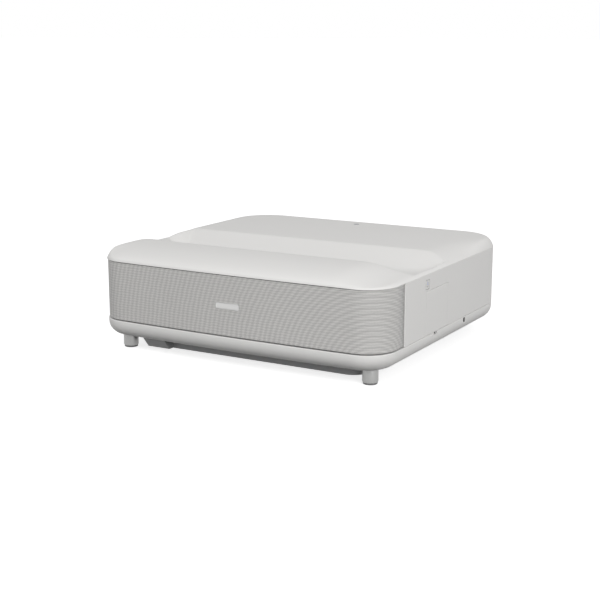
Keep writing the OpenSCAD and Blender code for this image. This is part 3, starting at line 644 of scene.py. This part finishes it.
def tray_profile():
    """The tray's wall from the middle of its floor, up inside, over the rim and down outside."""
    steps = 18
    turn = [pi / 2 * k / steps for k in range(steps + 1)]
    inner_r = CHIN_R - TRAY_WALL
    inside = [(TRAY_WALL + inner_r * (1 - cos(t)), FOOT_H + CHIN_R - inner_r * sin(t)) for t in turn[::-1]]
    rim = [(TRAY_WALL, TRAY_TOP_Z - 2.6), (5.0, TRAY_TOP_Z - 2.6), (5.0, TRAY_TOP_Z), (0.75, TRAY_TOP_Z),
           (0.3, TRAY_TOP_Z - 0.12), (0.08, TRAY_TOP_Z - 0.4), (0, TRAY_TOP_Z - 0.8)]
    outside = [(CHIN_R * (1 - cos(t)), FOOT_H + CHIN_R * (1 - sin(t))) for t in turn]
    return inside + rim + outside


def floor_cuts():
    """The filter's opening, the air slots and the screw wells in the tray's floor."""
    low, high = cad("filter_cover")
    cuts = [prism(rectangle(low.x + 2.2, low.y - 0.8, high.x - 2.2, high.y + 2), FOOT_H - 2, FOOT_H + 12)]
    for x in range(-150, -29, 8):
        for y in (100, 145):
            cuts.append(prism(rounded(x, y, x + 3.5, y + 34, 1.7, 5), FOOT_H - 2, FOOT_H + 6))
    cuts += [prism(circle(x, y, 3.4, 32), FOOT_H - 2, FOOT_H + 16) for x, y in SCREW_WELLS]
    return cuts


def make_tray():
    """The lower case, with the finger notch and the lock slot in shallow recesses on its right side."""
    tray = link_piece("tray", mesh_of("tray", *ring_shell(tray_profile(), 12)), "case_white",
                      replaces=["lower_case"])

    def side_cut(box, corner, depth):
        return prism(rounded(*box, corner, 4), HALF_W - depth, HALF_W + 3, "x")

    carve(tray, mesh_of("cut", *joined([side_cut(NOTCH, 1.2, 1.2), side_cut(LOCK_RECESS, 0.8, 0.8)])))
    deep = [side_cut(grown(LOCK_SLOT, 0.05), 0.6, 8), side_cut(NOTCH_HOLE, 0.8, 8)]
    carve(tray, mesh_of("cut", *joined(floor_cuts() + deep)))
    sharpen(tray.data, 40)


def make_lock_pocket():
    """The lock slot's liner, coloured near-black as painted shade inside the slot."""
    back, front = HALF_W - 7, HALF_W - 0.85
    outer, inner = rounded(*LOCK_SLOT, 0.6, 4), rounded(*grown(LOCK_SLOT, -0.4), 0.4, 4)
    skins = ((back, outer), (front, outer), (front, inner), (back + 0.6, inner))
    loops = [[(x, y, z) for y, z in loop] for x, loop in skins]
    link_piece("lock_pocket", mesh_of("lock_pocket", *solid_of(loops)), "case_white", material="window_black")


# ---------------------------------------------------------------- upright walls

WALL, CHAMFER = 3.0, 0.9


def cloth_path(inset):
    """The outline's points in front of the ends of the cloth, in order from left to right."""
    loop = outline(inset, corner=40, side=8, back=8)
    x, end = HALF_W - inset, BAND_Y - 0.5
    left = [p for p in loop[len(loop) // 2:] if p[1] < end]
    right = [p for p in loop[:len(loop) // 2] if p[1] < end]
    return [(-x, BAND_Y - 0.1)] + left + right + [(x, BAND_Y - 0.1)]


def wall_path(inset):
    """The outline's points behind the cloth, from right to left, with a chamfer at each end."""
    x = HALF_W - inset
    rest = [p for p in outline(inset, corner=40, side=8, back=8) if p[1] > BAND_Y + 1.5]
    right = [(x - CHAMFER, BAND_Y), (x, BAND_Y + CHAMFER)]
    return right + rest + [(-x, BAND_Y + CHAMFER), (CHAMFER - x, BAND_Y)]


def wall_solid(outer, inner, z0, z1):
    """A closed wall between two matching paths."""
    ring = outer + inner[::-1]
    n = len(ring)
    half = len(outer)
    verts = [(x, y, z) for z in (z0, z1) for x, y in ring]
    faces = [(k, (k + 1) % n, n + (k + 1) % n, n + k) for k in range(n)]
    for base in (0, n):
        faces += [(base + k, base + k + 1, base + n - 2 - k, base + n - 1 - k) for k in range(half - 1)]
    return verts, faces


def side_opening(node, grow, corner):
    """A cutter through the right wall for a node, a little larger than it."""
    low, high = cad(node)
    return prism(rounded(*grown((low.y, low.z, high.y, high.z), grow), corner), HALF_W - 6, HALF_W + 2, "x")


def rear_opening(node, grow):
    """A cutter through the rear wall for a node, larger or smaller than it."""
    low, high = cad(node)
    return prism(rounded(*grown((low.x, low.z, high.x, high.z), grow), 2), HALF_D - 6, HALF_D + 2, "y")


def door_span():
    """Where the door's opening starts and ends along Y."""
    low, high = cad("side_door")
    return low.y + 2.4, high.y - 2.4


def make_walls():
    """The side shell, with openings for the door, the key, the grille, the sockets and the inlet."""
    verts, faces = wall_solid(wall_path(0), wall_path(WALL), SEAM_Z, CREASE_Z)
    walls = link_piece("walls", mesh_of("walls", verts, faces), "case_white", replaces=["side_shell"])
    near, far = door_span()
    door_top = cad("side_door")[1].z + 0.7
    low, high = cad("vent_grille")
    grille = rectangle(*grown((low.y, low.z, high.y, high.z), 0.1))
    cuts = [prism(rectangle(near, SEAM_Z - 2, far, door_top), HALF_W - 6, HALF_W + 2, "x"),
            side_opening("power_button", 0.8, 1.8), prism(grille, -HALF_W - 2, -HALF_W + 6, "x"),
            rear_opening("rear_panel", -2), rear_opening("mains_inlet", 0.2)]
    carve(walls, mesh_of("cut", *joined(cuts)))
    sharpen(walls.data, 30)


def make_door_ears():
    """The two ears that hold the door's pins, inside the right wall."""
    near, far = door_span()
    pin_z = cad("side_door")[1].z
    ear = rounded(HALF_W - 9, pin_z - 8, HALF_W - WALL + 0.05, pin_z - 0.1, 1.2)
    solids = [prism(ear, y, y + 3, "y") for y in (near - 3.6, far + 0.6)]
    ears = link_piece("door_ears", mesh_of("door_ears", *joined(solids)), "case_white")
    bevel(ears, 0.3)


# ---------------------------------------------------------------- speaker cloth

CLOTH_INSET, CLOTH_THICK, RIB_DEPTH = 1.2, 0.35, 0.13


def make_cloth():
    """One stretched sheet round the front, with a rib for each knit row and its long edges tucked in."""
    low, high = cad("grille_cloth")
    rows = int((high.z - low.z) / RIB_H * 6)
    base, deep = cloth_path(CLOTH_INSET), cloth_path(CLOTH_INSET + 1)
    normal = [Vector((b[0] - a[0], b[1] - a[1])) for a, b in zip(base, deep)]
    length = [0.0]
    for a, b in zip(base, base[1:]):
        length.append(length[-1] + hypot(b[0] - a[0], b[1] - a[1]))
    verts, uvs = [], []
    for j in range(rows + 1):
        z = low.z + (high.z - low.z) * j / rows
        fold = max(0, 1 - min(z - low.z, high.z - z) / 1.0)
        inward = RIB_DEPTH * (1 + sin(2 * pi * z / RIB_H)) + 0.5 * fold * fold
        for (x, y), n, s in zip(base, normal, length):
            verts.append((x + n.x * inward, y + n.y * inward, z))
            uvs.append((s, z))
    n = len(base)
    faces = [(j * n + k, j * n + k + 1, (j + 1) * n + k + 1, (j + 1) * n + k)
             for j in range(rows) for k in range(n - 1)]
    mesh = mesh_of("cloth", verts, faces)
    for face in mesh.polygons:
        face.use_smooth = True
    layer = mesh.uv_layers.new(name="UVMap")
    for loop in mesh.loops:
        layer.data[loop.index].uv = uvs[loop.vertex_index]
    cloth = link_piece("cloth", mesh, "speaker_cloth", replaces=["grille_cloth"])
    shell = cloth.modifiers.new("thickness", "SOLIDIFY")
    shell.thickness, shell.offset = CLOTH_THICK * MM, -1


def make_badge():
    """The plain name plate: bowed with the cloth, with a raised rim."""
    low, high = cad("front_badge")
    loop = rounded(low.x, low.z, high.x, high.z, 1.6, 6)

    def skin(inwards, depth):
        """The plate's outline, drawn in by one distance and set back from the case's front by another."""
        mid = (low + high) / 2
        ring = []
        for x, z in loop:
            px = x - inwards * (1 if x > mid.x else -1)
            pz = z - inwards * (1 if z > mid.z else -1)
            ring.append((px, BOW_Y - sqrt((BOW_R - depth) ** 2 - px * px), pz))
        return ring

    rim = ((0, 1.15), (0, 0.35), (0.3, 0.12), (1.0, 0.12), (1.25, 0.45), (1.3, 0.45))
    loops = [skin(inwards, depth) for inwards, depth in rim]
    badge = link_piece("badge", mesh_of("badge", *solid_of(loops)), "badge_metal", replaces=["front_badge"])
    sharpen(badge.data, 40)


# ---------------------------------------------------------------- feet

THREAD_PITCH = 2.0
# The turned shapes as radius and height, from the bottom up.
BARREL = ((7.6, 2.32), (9.7, 2.32), (10.35, 2.6), (10.8, 3.2), (11.0, 4.2), (11.0, 20.4), (10.8, 21.1),
          (10.3, 21.5), (5.6, 21.6))
PAD = ((4.5, 0.5), (5.2, 0.1), (6, 0), (9.2, 0), (9.8, 0.35), (10.0, 0.9), (10.0, 2.1), (9.7, 2.3),
       (3.9, 2.3), (3.9, 5.7))


def thread(at, z0, z1, radius, depth):
    """A stud with a helical thread: each ring of points follows the thread's phase."""
    rows, n = int((z1 - z0) / 0.25), 48
    loops = []
    for j in range(rows + 1):
        z = z0 + (z1 - z0) * j / rows
        ring = []
        for k in range(n):
            phase = (z / THREAD_PITCH - k / n) % 1
            tooth = abs(2 * phase - 1)
            end = min(1, (z1 - z) / 1.5)
            r = (radius - depth * (1 - tooth)) * (0.85 + 0.15 * end)
            ring.append((at[0] + r * cos(2 * pi * k / n), at[1] + r * sin(2 * pi * k / n), z))
        loops.append(ring)
    return solid_of(loops)


def make_front_foot(side):
    """A metal barrel with its threaded stud, and the soft pad under it."""
    low, high = cad(f"{side}_foot_pad")
    at = ((low.x + high.x) / 2, (low.y + high.y) / 2)
    stud = thread(at, 21.4, 44.9, 4.95, 0.75)
    foot = mesh_of(f"{side}_barrel", *joined([lathe(BARREL, at, 96), stud]))
    sharpen(foot, 35)
    link_piece(f"{side}_barrel", foot, "foot_metal", f"{side}_screw", [f"{side}_foot"])
    pad = mesh_of(f"{side}_tip", *lathe(PAD, at))
    sharpen(pad, 35)
    link_piece(f"{side}_tip", pad, "pad_rubber", f"{side}_pad", [f"{side}_foot_pad"])


def make_rear_feet():
    """Two fixed posts, each with a narrower pad at the bottom."""
    low, high = cad("rear_feet")
    r = (high.y - low.y) / 2
    post = ((r - 1.6, 0), (r - 1.0, 0.4), (r - 0.8, 1), (r - 0.8, 2.6), (r - 0.2, 2.7), (r, 3.2),
            (r, 21.4), (r - 0.4, 22))
    solids = [lathe(post, (s * (high.x - r), (low.y + high.y) / 2)) for s in (-1, 1)]
    mesh = mesh_of("rear_posts", *joined(solids))
    sharpen(mesh, 35)
    link_piece("rear_posts", mesh, "pad_rubber", replaces=["rear_feet"], material="base_grey")


# ---------------------------------------------------------------- power key


def make_key_mark():
    """A broken ring and a bar, let into the key's face."""
    low, high = cad("power_button")
    cy, cz, face = (low.y + high.y) / 2, (low.z + high.z) / 2, high.x
    outer, inner = (arc(cy, cz, r, 125, 415, 28) for r in (3.7, 3.0))
    ring = mesh_of("key_ring", *prism(outer + inner[::-1], face - 0.3, face, "x"))
    link_piece("key_ring", ring, "indicator", "power_key", material="mark_grey")
    shape = rounded(cy - 0.55, cz - 0.6, cy + 0.55, cz + 4.2, 0.5, 5)
    bar = mesh_of("key_bar", *prism(shape, face - 0.3, face, "x"))
    link_piece("key_bar", bar, "indicator", "power_key")


def make_key_seal():
    """The soft ring round the key, in the wall's opening."""
    low, high = cad("power_button")
    key = (low.y, low.z, high.y, high.z)
    outer, inner = rounded(*grown(key, 0.75), 1.7, 6), rounded(*grown(key, 0.28), 1.4, 6)
    back, front = HALF_W - 2.6, HALF_W - 0.15
    skins = ((front, outer), (front, inner), (back, inner), (back, outer), (front, outer))
    verts = [(x, y, z) for x, loop in skins for y, z in loop]
    seal = mesh_of("key_seal", verts, strips(len(skins), len(outer)))
    link_piece("key_seal", seal, "pad_rubber")


# ---------------------------------------------------------------- the rest of the CAD nodes


def dress_nodes():
    """Every CAD node that stays gets its slot's material and small bevels on its edges."""
    slots = {part["node"]: part["material_slot"] for part in frame["record"]["subparts"]}
    for name, node in frame["nodes"].items():
        node.data.materials.clear()
        node.data.materials.append(materials["mark_grey" if name == "distance_sensor" else slots[name]])
        bevel(node, 0.35, angle=40)


def make_floor():
    """A pale floor that reaches past the horizon of every view."""
    reach, level = 60000, -0.3
    corners = rectangle(-reach, -reach, reach, reach)
    mesh = mesh_of("floor", [(x, y, level) for x, y in corners], [(0, 1, 2, 3)])
    floor = bpy.data.objects.new("floor", mesh)
    mesh.materials.append(materials["floor_white"])
    bpy.context.scene.collection.objects.link(floor)
    floor.visible_diffuse = False


make_camera()
make_lights()
make_cover()
make_tray()
make_lock_pocket()
make_walls()
make_door_ears()
make_cloth()
make_badge()
make_front_foot("left")
make_front_foot("right")
make_rear_feet()
make_key_mark()
make_key_seal()
dress_nodes()
make_floor()
